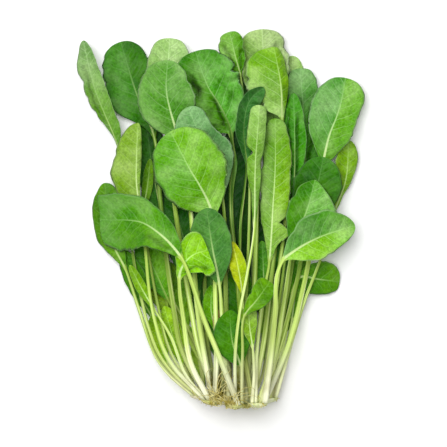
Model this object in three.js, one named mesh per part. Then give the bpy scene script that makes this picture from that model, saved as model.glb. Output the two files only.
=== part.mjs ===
// A bunch of arugula, pulled with its root collars on and laid on its back on a flat surface.
// Units are millimetres. +Y runs from the root collars to the leaf tips, +X to the right,
// +Z up from the surface. The origin is the middle of the base of the bunch's box.
//
// Each leaf grew as one piece, so its stalk, midrib and blade are one closed solid.
// The leaves are laid one by one, the lowest first, each on the heap of those before it.
import * as THREE from "three";

// Driving dimensions
const GAP = 0.55; // air between a leaf and what it lies on
const STALK_RADIUS_FOOT = 2; // at the root collar, on a leaf of full size
const STALK_RADIUS_NECK = 1.3; // where the blade begins
const FULL_SIZE_WIDTH = 30; // a blade this wide has the full stalk radius
const SMALLEST_STALK = 0.62; // share of the full radius on the smallest leaf
const RIB_AT_TIP = 0.45; // half thickness of the midrib at the tip
const BLADE_HALF_THICKNESS = 0.42; // between the midrib and the margin
const FLAT_LEAF_DEPTH = 1.3; // how far the flat underside of the lowest leaf is below its middle
const MARGIN_CURVE = 1.5; // 1 makes a blade a plain V across, 2 a round trough
const WIDEST_AT = 0.55; // where along the blade it is widest, unless a leaf says otherwise
const NECK_TAPER = 1.05; // how slowly the blade widens from its stalk
const ROUND_END = 2; // how the blade closes to its tip: 1 makes it pointed, 2 round, 5 nearly square
const TILT_SHARE = 0.6; // how far a blade leans into the slope that it lies on
const STEEPEST_TILT = 0.5; // rise over run
const STALK_BEND = 1 / 60; // tightest curvature that a stalk takes up and down
const BLADE_BEND = 1 / 30; // the same for a blade
const CROWN_GAP = 0.3; // between a stalk's foot and its root collar
const CROWN_LENGTH = 4.5;
const CROWN_MARGIN = 0.9; // how far a root collar stands out past its stalks

const STALK_STEPS = 9;
const BLADE_STEPS = 8;
const RING_POINTS = 8;

// Leaf colours, with how glossy each is
const COLOURS = {
  deep: 0x4a7f2c,
  mid: 0x639b42,
  bright: 0x83b84b,
  blue: 0x6fa05a,
  pale: 0xa6cb7c,
  underside: 0x9cc46a,
  olive: 0x80aa43,
  yellow: 0xaecd2b,
  brown: 0x8c6a35,
};
const LEAF_ROUGHNESS = 0.5;
const CROWN_COLOUR = 0xd9d6a4;
const CROWN_ROUGHNESS = 0.75;

// The seven plants, in a lower row on the surface and an upper row on top of it. front is where
// along Y the feet of its stalks are, and lift the least height of them.
const PLANTS = {
  left: { front: 4, lift: 0 },
  left_middle: { front: 0, lift: 0 },
  right_middle: { front: -2, lift: 0 },
  right: { front: 2, lift: 0 },
  upper_left: { front: 2, lift: 23 },
  upper_middle: { front: -1, lift: 20 },
  upper_right: { front: 0, lift: 20 },
};

// The leaves, lowest in the heap first. Each lists, as seen from above: plant, whose root
// collar it grows from; foot, its place along X there; stalk, points that the stalk passes;
// blade, points from the blade's neck to its tip; halfWidth, to the left and right of the
// midrib; rise, how far the left and right margins stand above the midrib; widest, where
// along the blade each side is widest; end, how it closes to its tip; arch and tipLift, how
// far its middle and tip are held up.
const LEAVES = [
  {
    name: "leaf_under_middle", colour: "deep", plant: "left_middle", foot: 2,
    stalk: [[1, 11]],
    blade: [[1, 22], [-5, 69], [-10, 112]],
    halfWidth: [15, 17], rise: [0, 0], widest: [0.5, 0.5], flat: true,
  },
  {
    name: "leaf_under_right", colour: "deep", plant: "right", foot: 29.5,
    stalk: [[34, 15]],
    blade: [[35, 31], [40, 69], [45, 108]],
    halfWidth: [14, 15], rise: [1, 1], widest: [0.5, 0.5],
  },
  {
    name: "leaf_under_left", colour: "deep", plant: "left", foot: -13,
    stalk: [[-13, 14], [-17, 34]],
    blade: [[-25, 53], [-37, 76], [-48, 98]],
    halfWidth: [13, 17], rise: [1, 1], widest: [0.5, 0.5],
  },
  {
    name: "leaf_inner_top", colour: "deep", plant: "right_middle", foot: 18,
    stalk: [[18, 35], [20, 70], [18, 133]],
    blade: [[18, 175], [18, 206], [18, 237]],
    halfWidth: [13, 14], rise: [1, 1],
  },
  {
    name: "leaf_inner_left", colour: "deep", plant: "left", foot: -16.5,
    stalk: [[-30, 34], [-38, 66]],
    blade: [[-41, 122], [-48, 161], [-54, 202]],
    halfWidth: [12, 12], rise: [1, 1],
  },
  {
    name: "leaf_inner_upper_left", colour: "deep", plant: "left_middle", foot: -2.5,
    stalk: [[-9, 35], [-11, 70], [-13, 140]],
    blade: [[-17, 182], [-22, 214], [-24, 238]],
    halfWidth: [12, 12], rise: [1, 1],
  },
  {
    name: "leaf_inner_middle", colour: "deep", plant: "left_middle", foot: 6.5,
    stalk: [[6, 35], [6, 63]],
    blade: [[6, 95], [8, 143], [8, 190]],
    halfWidth: [12, 12], rise: [1, 1],
  },
  {
    name: "leaf_inner_low_left", colour: "deep", plant: "left_middle", foot: 0,
    stalk: [[-8, 20], [-13, 46]],
    blade: [[-16, 73], [-26, 112], [-35, 148]],
    halfWidth: [13, 16], rise: [1, 1],
  },
  {
    name: "leaf_inner_low_middle", colour: "deep", plant: "right_middle", foot: 22.5,
    stalk: [[21, 35]],
    blade: [[22, 73], [22, 112], [20, 150]],
    halfWidth: [11, 11], rise: [1, 1],
  },
  {
    name: "leaf_inner_low_right", colour: "deep", plant: "right", foot: 34,
    stalk: [[38, 31]],
    blade: [[42, 66], [46, 102], [48, 146]],
    halfWidth: [10, 11], rise: [1, 1],
  },
  {
    name: "leaf_low_right_inner", colour: "deep", plant: "right", foot: 38.5,
    stalk: [[46, 35]],
    blade: [[50, 56], [53, 80], [55, 105]],
    halfWidth: [8, 9], rise: [1, 2],
  },
  {
    name: "leaf_low_right_slip", colour: "mid", plant: "right_middle", foot: 20,
    stalk: [[28, 14]],
    blade: [[31, 27], [34, 49], [36, 73]],
    halfWidth: [6, 5], rise: [1, 1],
  },
  {
    name: "leaf_low_middle_slip", colour: "mid", plant: "right_middle", foot: 16,
    stalk: [[25, 35]],
    blade: [[30, 67], [30, 90], [29, 112]],
    halfWidth: [6, 6], rise: [1, 1],
  },
  {
    name: "leaf_low_middle_inner", colour: "deep", plant: "right_middle", foot: 13.5,
    stalk: [[15, 17]],
    blade: [[15, 35], [13, 67], [12, 97]],
    halfWidth: [10, 11], rise: [2, 1],
  },
  {
    name: "leaf_left_inner", colour: "deep", plant: "left_middle", foot: 4,
    stalk: [[-18, 34], [-27, 52]],
    blade: [[-37, 70], [-47, 92], [-57, 113]],
    halfWidth: [11, 12], rise: [2, 2],
  },
  {
    name: "leaf_lower_left", colour: "mid", plant: "left", foot: -19.5,
    stalk: [[-25, 22], [-38, 42]],
    blade: [[-48, 57], [-59, 78], [-71, 106]],
    halfWidth: [6, 10], rise: [-1, 2],
  },
  {
    name: "leaf_sprout_left", colour: "bright", plant: "left", foot: -12,
    stalk: [[-22, 10]],
    blade: [[-36, 25], [-44, 42], [-48, 60]],
    halfWidth: [6, 6], rise: [1, 1],
  },
  {
    name: "leaf_sprout_left_upper", colour: "bright", plant: "left", foot: -16,
    stalk: [[-21, 8]],
    blade: [[-27, 24], [-34, 45], [-40, 66]],
    halfWidth: [6, 8], rise: [1, 1],
  },
  {
    name: "leaf_low_right_round", colour: "deep", plant: "right", foot: 36,
    stalk: [[43, 35], [49, 66]],
    blade: [[55, 86], [69, 85], [84, 83]],
    halfWidth: [13, 15], rise: [2, -2], widest: [0.5, 0.5], end: 2.5,
  },
  {
    name: "leaf_right_edge", colour: "olive", plant: "right", foot: 38.5,
    stalk: [[49, 38], [59, 70], [71, 102]],
    blade: [[80, 132], [88, 155], [90, 183]],
    halfWidth: [10, 10], rise: [3, -3], arch: 3, tipLift: 4,
  },
  {
    name: "leaf_top_right_pale", colour: "pale", plant: "right", foot: 32,
    stalk: [[33, 35], [39, 77], [46, 133]],
    blade: [[47, 164], [49, 206], [51, 243]],
    halfWidth: [14, 12], rise: [2, 2], widest: [0.6, 0.6],
  },
  {
    name: "leaf_right_inner_tall", colour: "deep", plant: "right", foot: 34,
    stalk: [[39, 35], [46, 70], [52, 105]],
    blade: [[59, 141], [59, 189], [56, 234]],
    halfWidth: [11, 12], rise: [3, 3], widest: [0.5, 0.5], end: 4,
  },
  {
    name: "leaf_right_inner_narrow", colour: "deep", plant: "right", foot: 29.5,
    stalk: [[34, 35], [41, 70], [46, 105]],
    blade: [[51, 140], [52, 178], [51, 216]],
    halfWidth: [8, 8], rise: [-2, 3],
  },
  {
    name: "leaf_top_curled", colour: "pale", plant: "right_middle", foot: 18,
    stalk: [[20, 35], [23, 70], [26, 147]],
    blade: [[29, 197], [30, 232], [29, 261]],
    halfWidth: [17, 18], rise: [-5, -4], widest: [0.68, 0.68], end: 2.6, arch: 4, tipLift: 5,
  },
  {
    name: "leaf_top_small", colour: "bright", plant: "right_middle", foot: 13.5,
    stalk: [[15, 35], [18, 77], [20, 168]],
    blade: [[14, 227], [10, 242], [6, 259]],
    halfWidth: [10, 8], rise: [-3, 2], widest: [0.6, 0.6], end: 2.8, arch: 3, tipLift: 6,
  },
  {
    name: "leaf_far_left_low", colour: "deep", plant: "left", foot: -19.5,
    stalk: [[-43, 27], [-57, 62]],
    blade: [[-67, 92], [-79, 116], [-82, 153]],
    halfWidth: [10, 14], rise: [-4, 2], widest: [0.6, 0.6],
  },
  {
    name: "leaf_top_left_broad", colour: "mid", plant: "left", foot: -9.7,
    stalk: [[-27, 34], [-34, 70], [-42, 133]],
    blade: [[-47, 185], [-60, 217], [-71, 253]],
    halfWidth: [20, 18], rise: [2, 3], widest: [0.5, 0.5], end: 2.2,
  },
  {
    name: "leaf_left_sliver", colour: "olive", plant: "left", foot: -13,
    stalk: [[-34, 31], [-45, 70], [-50, 98]],
    blade: [[-55, 130], [-52, 150], [-50, 170]],
    halfWidth: [4, 4], rise: [1, 1],
  },
  {
    name: "leaf_far_left_rolled", colour: "mid", plant: "left", foot: -16,
    stalk: [[-41, 29], [-57, 76], [-65, 126]],
    blade: [[-70, 171], [-79, 195], [-87, 214], [-92, 232], [-97, 253]],
    halfWidth: [8, 8], rise: [-7, 6], widest: [0.62, 0.5], arch: 3, tipLift: 4,
  },
  {
    name: "leaf_top_pale", colour: "pale", plant: "left_middle", foot: -2.5,
    stalk: [[-15, 35], [-22, 70], [-33, 140]],
    blade: [[-38, 188], [-38, 221], [-36, 255]],
    halfWidth: [15, 16], rise: [-1, 3], widest: [0.6, 0.6], end: 2.6, arch: 3, tipLift: 4,
  },
  {
    name: "leaf_top_middle_broad", colour: "mid", plant: "right_middle", foot: 22.5,
    stalk: [[16, 35], [13, 70], [7, 140], [9, 168]],
    blade: [[7, 188], [1, 204], [-8, 218], [-13, 230], [-18, 245]],
    halfWidth: [23, 24], rise: [3, 4], widest: [0.52, 0.52], end: 2.4, arch: 3, tipLift: 2,
  },
  {
    name: "leaf_top_right_folded", colour: "pale", plant: "upper_right", foot: 21.5,
    stalk: [[30, 42], [36, 91], [42, 147]],
    blade: [[43, 197], [42, 220], [37, 248]],
    halfWidth: [24, 6], rise: [-2, -6], widest: [0.46, 0.6], end: 3, arch: 3,
  },
  {
    name: "leaf_right_curled", colour: "blue", plant: "upper_middle", foot: 10,
    stalk: [[13, 35], [13, 84], [14, 126]],
    blade: [[18, 164], [16, 190], [20, 210], [30, 219]],
    halfWidth: [6, 10], rise: [5, -4],
  },
  {
    name: "leaf_upper_left_oval", colour: "mid", plant: "upper_left", foot: -6,
    stalk: [[-12, 35], [-17, 70], [-22, 140]],
    blade: [[-29, 181], [-35, 202], [-38, 218], [-37, 238]],
    halfWidth: [21, 19], rise: [3, 3], widest: [0.5, 0.5], arch: 2,
  },
  {
    name: "leaf_blue_behind", colour: "blue", plant: "upper_middle", foot: 5.5,
    stalk: [[4, 38], [3, 91]],
    blade: [[1, 142], [-10, 174], [-23, 205]],
    halfWidth: [19, 19], rise: [1, 2],
  },
  {
    name: "leaf_right_oval", colour: "mid", plant: "upper_right", foot: 30.5,
    stalk: [[48, 41], [58, 80], [66, 122]],
    blade: [[71, 162], [76, 186], [83, 204], [88, 227]],
    halfWidth: [20, 20], rise: [2, 3], widest: [0.6, 0.6], end: 2.3, arch: 3, tipLift: 2,
  },
  {
    name: "leaf_left_small", colour: "bright", plant: "upper_left", foot: -10,
    stalk: [[-24, 18], [-35, 45]],
    blade: [[-46, 63], [-55, 78], [-64, 95]],
    halfWidth: [4, 4], rise: [1, 2], arch: 2,
  },
  {
    name: "leaf_left_folded", colour: "underside", plant: "upper_left", foot: -11.5,
    stalk: [[-37, 31], [-49, 70], [-52, 98]],
    blade: [[-56, 132], [-59, 150], [-59, 171], [-58, 195]],
    halfWidth: [17, 4], rise: [-4, -2], widest: [0.36, 0.6], arch: 4,
  },
  {
    name: "leaf_right_round_dark", colour: "deep", plant: "upper_right", foot: 26,
    stalk: [[40, 35], [50, 70], [55, 91]],
    blade: [[59, 115], [66, 143], [72, 171]],
    halfWidth: [17, 17], rise: [2, 2], widest: [0.6, 0.6],
  },
  {
    name: "leaf_sprout_middle", colour: "bright", plant: "upper_left", foot: -1.5,
    stalk: [[-1, 28]],
    blade: [[-4, 49], [-7, 64], [-6, 81]],
    halfWidth: [6, 5], rise: [1, 2], arch: 2,
  },
  {
    name: "leaf_withered", colour: "brown", plant: "upper_middle", foot: 8,
    stalk: [[6, 20]],
    blade: [[2, 38], [-1, 50], [-3, 64]],
    halfWidth: [4, 4], rise: [1, 1],
  },
  {
    name: "leaf_yellow", colour: "yellow", plant: "upper_middle", foot: 12,
    stalk: [[15, 38]],
    blade: [[15, 74], [12, 94], [8, 112]],
    halfWidth: [6, 6], rise: [-1, 2], end: 1.5, arch: 3, tipLift: 3,
  },
  {
    name: "leaf_big_bright", colour: "bright", plant: "upper_left", foot: -4,
    stalk: [[-3, 35], [-4, 77]],
    blade: [[-5, 127], [-11, 144], [-21, 161], [-35, 188]],
    halfWidth: [24, 25], rise: [-3, -3], widest: [0.55, 0.55], end: 2.3, arch: 4,
  },
  {
    name: "leaf_middle_blue", colour: "blue", plant: "upper_middle", foot: 5.5,
    stalk: [[2, 38]],
    blade: [[-1, 81], [-6, 108], [-10, 135]],
    halfWidth: [15, 14], rise: [3, 3], widest: [0.52, 0.52], arch: 3,
  },
  {
    name: "leaf_low_bright", colour: "bright", plant: "upper_middle", foot: 14.5,
    stalk: [[15, 10]],
    blade: [[14, 25], [8, 42], [6, 64]],
    halfWidth: [13, 13], rise: [2, 2], widest: [0.5, 0.5], end: 1.7, arch: 3,
  },
  {
    name: "leaf_right_middle", colour: "mid", plant: "upper_right", foot: 28,
    stalk: [[38, 35], [45, 76]],
    blade: [[50, 105], [55, 120], [61, 136], [66, 155]],
    halfWidth: [10, 17], rise: [3, 2], widest: [0.42, 0.42], end: 1.6, arch: 3,
  },
  {
    name: "leaf_long_middle", colour: "underside", plant: "upper_right", foot: 24,
    stalk: [[25, 35], [29, 70]],
    blade: [[34, 97], [36, 130], [38, 164], [38, 198]],
    halfWidth: [10, 12], rise: [-3, -5], widest: [0.5, 0.5], end: 3, arch: 3,
  },
  {
    name: "leaf_sprout_pale", colour: "pale", plant: "upper_right", foot: 21.5,
    stalk: [[23, 20]],
    blade: [[22, 38], [20, 52], [19, 66]],
    halfWidth: [6, 6], rise: [1, 1], widest: [0.75, 0.75], end: 3.5,
  },
  {
    name: "leaf_long_lobed", colour: "pale", plant: "upper_middle", foot: 10,
    stalk: [[10, 35], [13, 63], [18, 88]],
    blade: [[23, 119], [24, 164], [27, 207]],
    halfWidth: [8, 6], rise: [-3, -3], widest: [0.4, 0.8], end: 4, arch: 4,
  },
  {
    name: "leaf_small_green", colour: "bright", plant: "upper_middle", foot: 14.5,
    stalk: [[15, 35]],
    blade: [[16, 60], [25, 72], [34, 84]],
    halfWidth: [8, 8], rise: [1, 2], widest: [0.7, 0.7], end: 3.5, arch: 3,
  },
  {
    name: "leaf_broad_right", colour: "bright", plant: "upper_right", foot: 30.5,
    stalk: [[35, 35], [38, 70], [38, 85]],
    blade: [[43, 99], [55, 108], [69, 115], [94, 123]],
    halfWidth: [18, 15], rise: [5, 4], widest: [0.5, 0.5], end: 1.8, arch: 3,
  },
  {
    name: "leaf_small_folded", colour: "bright", plant: "upper_left", foot: -8,
    stalk: [[-21, 28], [-26, 56]],
    blade: [[-29, 85], [-27, 94], [-20, 102], [-9, 106]],
    halfWidth: [13, 17], rise: [2, 3], widest: [0.82, 0.82], end: 5, arch: 4, tipLift: 2,
  },
  {
    name: "leaf_broad_left", colour: "mid", plant: "upper_middle", foot: 12,
    stalk: [[1, 27], [-12, 59]],
    blade: [[-27, 100], [-40, 115], [-55, 125], [-85, 127]],
    halfWidth: [20, 19], rise: [-2, 2], widest: [0.7, 0.66], end: 5, arch: 3,
  },
];

// The heap so far, as the height of its top over a grid of square cells
const CELL = 0.5;
const HEAP = { left: -150, front: -10, columns: 600, rows: 620 };
const SAMPLE_STEP = 0.4;
const heap = new Float32Array(HEAP.columns * HEAP.rows).fill(-GAP);

function cellAt(x, y) {
  const column = Math.floor((x - HEAP.left) / CELL);
  const row = Math.floor((y - HEAP.front) / CELL);
  return row * HEAP.columns + column;
}

function heapAt(x, y) {
  return Math.max(0, heap[cellAt(x, y)]);
}

// Calls visit(x, y, z) over a triangle, at steps finer than a cell
function sampleTriangle(a, b, c, visit) {
  const longest = Math.max(a.distanceTo(b), b.distanceTo(c), c.distanceTo(a));
  const steps = Math.ceil(longest / SAMPLE_STEP);
  for (let i = 0; i <= steps; i += 1) {
    for (let j = 0; j <= steps - i; j += 1) {
      const u = i / steps;
      const v = j / steps;
      const w = 1 - u - v;
      visit(a.x * u + b.x * v + c.x * w, a.y * u + b.y * v + c.y * w, a.z * u + b.z * v + c.z * w);
    }
  }
}

function addToHeap(triangles) {
  for (const [a, b, c] of triangles) {
    sampleTriangle(a, b, c, (x, y, z) => {
      const cell = cellAt(x, y);
      for (const side of [-1, 0, 1]) {
        for (const along of [-1, 0, 1]) {
          const near = cell + side + along * HEAP.columns;
          heap[near] = Math.max(heap[near], z);
        }
      }
    });
  }
}

// How far from 0 to 1 a blade has opened at t, from its neck at 0 to its tip at 1
function bladeOutline(t, widest, end) {
  if (t < widest) {
    return Math.pow(Math.sin((Math.PI / 2) * (t / widest)), NECK_TAPER);
  }
  const past = Math.min(1, (t - widest) / (1 - widest));
  return Math.pow(1 - Math.pow(past, end), 1 / end);
}

// The stations along a leaf: steps along the stalk, then closer ones towards the blade's tip
function stationsOf(leaf) {
  const points = [[leaf.foot, PLANTS[leaf.plant].front], ...leaf.stalk, ...leaf.blade];
  const spine = new THREE.CatmullRomCurve3(points.map(([x, y]) => new THREE.Vector3(x, y, 0)));
  spine.arcLengthDivisions = 400;
  const lengths = spine.getLengths();
  const neckIndex = ((leaf.stalk.length + 1) / (points.length - 1)) * spine.arcLengthDivisions;
  const neck = lengths[Math.round(neckIndex)] / lengths[spine.arcLengthDivisions];
  const width = leaf.halfWidth[0] + leaf.halfWidth[1];
  const size = THREE.MathUtils.clamp(width / FULL_SIZE_WIDTH, SMALLEST_STALK, 1);
  const { widest = [WIDEST_AT, WIDEST_AT], end = ROUND_END } = leaf;
  const stations = [];
  for (let i = 0; i <= STALK_STEPS + BLADE_STEPS; i += 1) {
    const alongStalk = Math.min(1, i / STALK_STEPS);
    const t = Math.sin((Math.PI / 2) * Math.max(0, (i - STALK_STEPS) / BLADE_STEPS));
    const place = neck * alongStalk + (1 - neck) * t;
    const centre = spine.getPointAt(place);
    const heading = i === 0 ? new THREE.Vector3(0, 1, 0) : spine.getTangentAt(place);
    const right = new THREE.Vector3(heading.y, -heading.x, 0);
    const taper = THREE.MathUtils.lerp(STALK_RADIUS_FOOT, STALK_RADIUS_NECK, alongStalk);
    const radius = THREE.MathUtils.lerp(taper * size, RIB_AT_TIP, Math.sqrt(t));
    const open = widest.map((where) => bladeOutline(t, where, end));
    stations.push({ centre, right, t, radius, open, tilt: 0, lift: 0 });
  }
  return stations;
}

// The ring of points round a leaf at one station, anticlockwise from its left margin by way
// of its top, each as its distance to the right of the spine and its height over it
function sectionOf(leaf, station) {
  const { radius, open, t } = station;
  if (t === 0) {
    const ring = [];
    for (let k = 0; k < RING_POINTS; k += 1) {
      const turn = Math.PI - (k / RING_POINTS) * 2 * Math.PI;
      ring.push([Math.cos(turn) * radius, Math.sin(turn) * radius]);
    }
    return ring;
  }
  const [left, right] = leaf.halfWidth.map((half, side) => Math.max(half * open[side], radius));
  const [leftRise, rightRise] = leaf.rise.map((rise, side) => rise * open[side]);
  const halfway = Math.pow(0.5, MARGIN_CURVE);
  const top = BLADE_HALF_THICKNESS;
  const middle = Math.max(radius * 0.6, BLADE_HALF_THICKNESS);
  const under = leaf.flat ? FLAT_LEAF_DEPTH : BLADE_HALF_THICKNESS;
  const rib = leaf.flat ? FLAT_LEAF_DEPTH : radius;
  return [
    [-left, leftRise],
    [-left / 2, leftRise * halfway + top],
    [0, middle],
    [right / 2, rightRise * halfway + top],
    [right, rightRise],
    [right / 2, rightRise * halfway - under],
    [0, -rib],
    [-left / 2, leftRise * halfway - under],
  ];
}

// The slope, to the right, of the heap under a blade at each station, evened out along it
function leanIntoHeap(leaf, stations) {
  const slopes = stations.map((station) => {
    if (station.t === 0 || leaf.flat) {
      return 0;
    }
    const [left, right] = leaf.halfWidth.map((half, side) => half * Math.max(station.open[side], 0.3) * 0.7);
    const { centre } = station;
    const leftHeight = heapAt(centre.x - station.right.x * left, centre.y - station.right.y * left);
    const rightHeight = heapAt(centre.x + station.right.x * right, centre.y + station.right.y * right);
    const slope = ((rightHeight - leftHeight) / (left + right)) * TILT_SHARE;
    return THREE.MathUtils.clamp(slope, -STEEPEST_TILT, STEEPEST_TILT);
  });
  const reach = 3;
  stations.forEach((station, i) => {
    const near = slopes.slice(Math.max(0, i - reach), i + reach + 1);
    station.tilt = near.reduce((sum, slope) => sum + slope, 0) / near.length;
    if (station.t === 0) {
      station.tilt = 0;
    }
  });
}

function ringAt(leaf, station) {
  return sectionOf(leaf, station).map(([aside, height]) => {
    const { centre, right, tilt, lift } = station;
    const z = height + aside * tilt + lift;
    return new THREE.Vector3(centre.x + right.x * aside, centre.y + right.y * aside, z);
  });
}

// The triangles of a leaf, each with the two stations that it spans
function skinOf(leaf, stations) {
  const last = stations.length - 1;
  const rings = stations.slice(0, last).map((station) => ringAt(leaf, station));
  const foot = stations[0].centre.clone().setZ(stations[0].lift);
  const tip = stations[last].centre.clone().setZ(stations[last].lift);
  const triangles = [];
  for (let k = 0; k < RING_POINTS; k += 1) {
    const next = (k + 1) % RING_POINTS;
    triangles.push({ corners: [foot, rings[0][next], rings[0][k]], span: [0, 0] });
    for (let i = 0; i + 1 < last; i += 1) {
      const [a, b] = [rings[i][k], rings[i][next]];
      const [c, d] = [rings[i + 1][next], rings[i + 1][k]];
      triangles.push({ corners: [a, b, c], span: [i, i + 1] });
      triangles.push({ corners: [a, c, d], span: [i, i + 1] });
    }
    triangles.push({ corners: [tip, rings[last - 1][k], rings[last - 1][next]], span: [last - 1, last] });
  }
  return triangles;
}

// The lift that each station needs for the leaf to clear the heap
function clearHeap(leaf, stations) {
  const needed = new Array(stations.length).fill(0);
  for (const { corners, span } of skinOf(leaf, stations)) {
    let most = 0;
    sampleTriangle(...corners, (x, y, z) => {
      most = Math.max(most, heap[cellAt(x, y)] + GAP - z);
    });
    for (const i of span) {
      needed[i] = Math.max(needed[i], most);
    }
  }
  needed[0] = Math.max(needed[0], PLANTS[leaf.plant].lift);
  stations.forEach((station, i) => {
    station.lift = needed[i];
  });
}

// Raises a leaf beside each place where the heap holds it up, and across each dip, so that it
// bends no more tightly than a stalk or a blade can
function relaxBends(stations) {
  const bendOf = (station) => (station.t === 0 ? STALK_BEND : BLADE_BEND);
  const held = stations.map((station) => station.lift);
  for (const station of stations) {
    stations.forEach((support, j) => {
      const bend = Math.min(bendOf(station), bendOf(support));
      const away = station.centre.distanceTo(support.centre);
      station.lift = Math.max(station.lift, held[j] - (bend * away * away) / 2);
    });
  }
  const rounds = 300;
  for (let round = 0; round < rounds; round += 1) {
    for (let i = 1; i + 1 < stations.length; i += 1) {
      const [before, here, after] = [stations[i - 1], stations[i], stations[i + 1]];
      const back = here.centre.distanceTo(before.centre);
      const ahead = here.centre.distanceTo(after.centre);
      const chord = (before.lift * ahead + after.lift * back) / (back + ahead);
      const sag = (bendOf(here) * back * ahead) / 2;
      here.lift = Math.max(here.lift, chord - sag);
    }
  }
}

// A natural arch of the blade, and its tip held up or not
function archBlade(leaf, stations) {
  const { arch = 0, tipLift = 0 } = leaf;
  for (const station of stations) {
    station.lift += arch * Math.sin(Math.PI * station.t) + tipLift * station.t * station.t;
  }
}

function geometryOf(triangles) {
  const positions = triangles.flatMap((corners) => corners.flatMap((corner) => corner.toArray()));
  const geometry = new THREE.BufferGeometry();
  geometry.setAttribute("position", new THREE.Float32BufferAttribute(positions, 3));
  geometry.computeVertexNormals();
  return geometry;
}

function layLeaf(leaf) {
  const stations = stationsOf(leaf);
  leanIntoHeap(leaf, stations);
  clearHeap(leaf, stations);
  relaxBends(stations);
  archBlade(leaf, stations);
  const triangles = skinOf(leaf, stations).map(({ corners }) => corners);
  addToHeap(triangles);
  const material = new THREE.MeshStandardMaterial({
    color: COLOURS[leaf.colour],
    roughness: LEAF_ROUGHNESS,
    metalness: 0,
  });
  const mesh = new THREE.Mesh(geometryOf(triangles), material);
  mesh.name = leaf.name;
  const foot = { plant: leaf.plant, x: leaf.foot, z: stations[0].lift, radius: stations[0].radius };
  return { mesh, foot };
}

// A root collar: a short lumpy body whose front face covers the feet of its stalks, tapering
// to the stub of its root. It is flat where it lies on the surface.
function makeCrown(plant, feet) {
  const sides = 14;
  const face = PLANTS[plant].front - CROWN_GAP;
  const own = feet.filter((foot) => foot.plant === plant);
  const edges = (place) => own.flatMap((foot) => [foot[place] - foot.radius, foot[place] + foot.radius]);
  const left = Math.min(...edges("x")) - CROWN_MARGIN;
  const right = Math.max(...edges("x")) + CROWN_MARGIN;
  const bottom = Math.min(...edges("z")) - CROWN_MARGIN;
  const top = Math.max(...edges("z")) + CROWN_MARGIN;
  const profile = [
    { back: 0, share: 1 },
    { back: 0.25, share: 0.99 },
    { back: 0.55, share: 0.86 },
    { back: 0.8, share: 0.6 },
    { back: 1, share: 0.3 },
  ];
  const middle = new THREE.Vector3((left + right) / 2, 0, (bottom + top) / 2);
  const rings = profile.map(({ back, share }) => {
    const ring = [];
    for (let k = 0; k < sides; k += 1) {
      const turn = (k / sides) * 2 * Math.PI;
      const x = middle.x + Math.cos(turn) * ((right - left) / 2) * share;
      const z = middle.z + Math.sin(turn) * ((top - bottom) / 2) * share;
      ring.push(new THREE.Vector3(x, face - back * CROWN_LENGTH, Math.max(0, z)));
    }
    return ring;
  });
  const front = middle.clone().setY(face);
  const rear = middle.clone().setY(face - CROWN_LENGTH);
  const triangles = [];
  for (let k = 0; k < sides; k += 1) {
    const next = (k + 1) % sides;
    triangles.push([front, rings[0][next], rings[0][k]]);
    for (let i = 0; i + 1 < rings.length; i += 1) {
      const [a, b] = [rings[i][k], rings[i][next]];
      const [c, d] = [rings[i + 1][next], rings[i + 1][k]];
      triangles.push([a, b, c], [a, c, d]);
    }
    triangles.push([rear, rings.at(-1)[k], rings.at(-1)[next]]);
  }
  const material = new THREE.MeshStandardMaterial({
    color: CROWN_COLOUR,
    roughness: CROWN_ROUGHNESS,
    metalness: 0,
  });
  const mesh = new THREE.Mesh(geometryOf(triangles), material);
  mesh.name = `crown_${plant}`;
  return mesh;
}

const bunch = new THREE.Group();
const laid = LEAVES.map(layLeaf);
const feet = laid.map(({ foot }) => foot);
bunch.add(...laid.map(({ mesh }) => mesh));
bunch.add(...Object.keys(PLANTS).map((plant) => makeCrown(plant, feet)));

// The origin goes to the middle of the base of the box
const box = new THREE.Box3().setFromObject(bunch);
const middle = box.getCenter(new THREE.Vector3());
bunch.position.set(-middle.x, -middle.y, -box.min.z);

export default bunch;
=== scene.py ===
import math

import bpy
import numpy as np
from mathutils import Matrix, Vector


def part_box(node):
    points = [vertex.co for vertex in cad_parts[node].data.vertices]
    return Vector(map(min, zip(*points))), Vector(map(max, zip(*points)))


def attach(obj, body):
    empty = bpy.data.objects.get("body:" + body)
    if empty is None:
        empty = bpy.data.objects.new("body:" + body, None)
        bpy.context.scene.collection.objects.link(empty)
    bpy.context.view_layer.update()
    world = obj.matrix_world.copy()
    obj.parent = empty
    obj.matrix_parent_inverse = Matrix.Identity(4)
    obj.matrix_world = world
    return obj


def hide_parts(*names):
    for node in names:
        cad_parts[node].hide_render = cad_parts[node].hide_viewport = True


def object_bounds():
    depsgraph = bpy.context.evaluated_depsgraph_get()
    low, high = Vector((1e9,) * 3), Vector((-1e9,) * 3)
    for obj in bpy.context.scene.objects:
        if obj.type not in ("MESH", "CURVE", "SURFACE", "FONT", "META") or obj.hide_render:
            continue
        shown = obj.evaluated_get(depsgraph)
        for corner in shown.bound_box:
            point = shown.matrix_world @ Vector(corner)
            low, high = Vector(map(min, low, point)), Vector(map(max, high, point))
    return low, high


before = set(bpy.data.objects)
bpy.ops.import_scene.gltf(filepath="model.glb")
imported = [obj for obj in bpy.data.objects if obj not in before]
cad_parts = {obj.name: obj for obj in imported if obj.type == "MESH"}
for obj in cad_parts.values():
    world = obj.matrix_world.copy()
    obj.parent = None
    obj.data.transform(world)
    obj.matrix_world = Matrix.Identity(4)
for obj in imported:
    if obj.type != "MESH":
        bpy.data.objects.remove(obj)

cad_low, cad_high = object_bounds()

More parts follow.
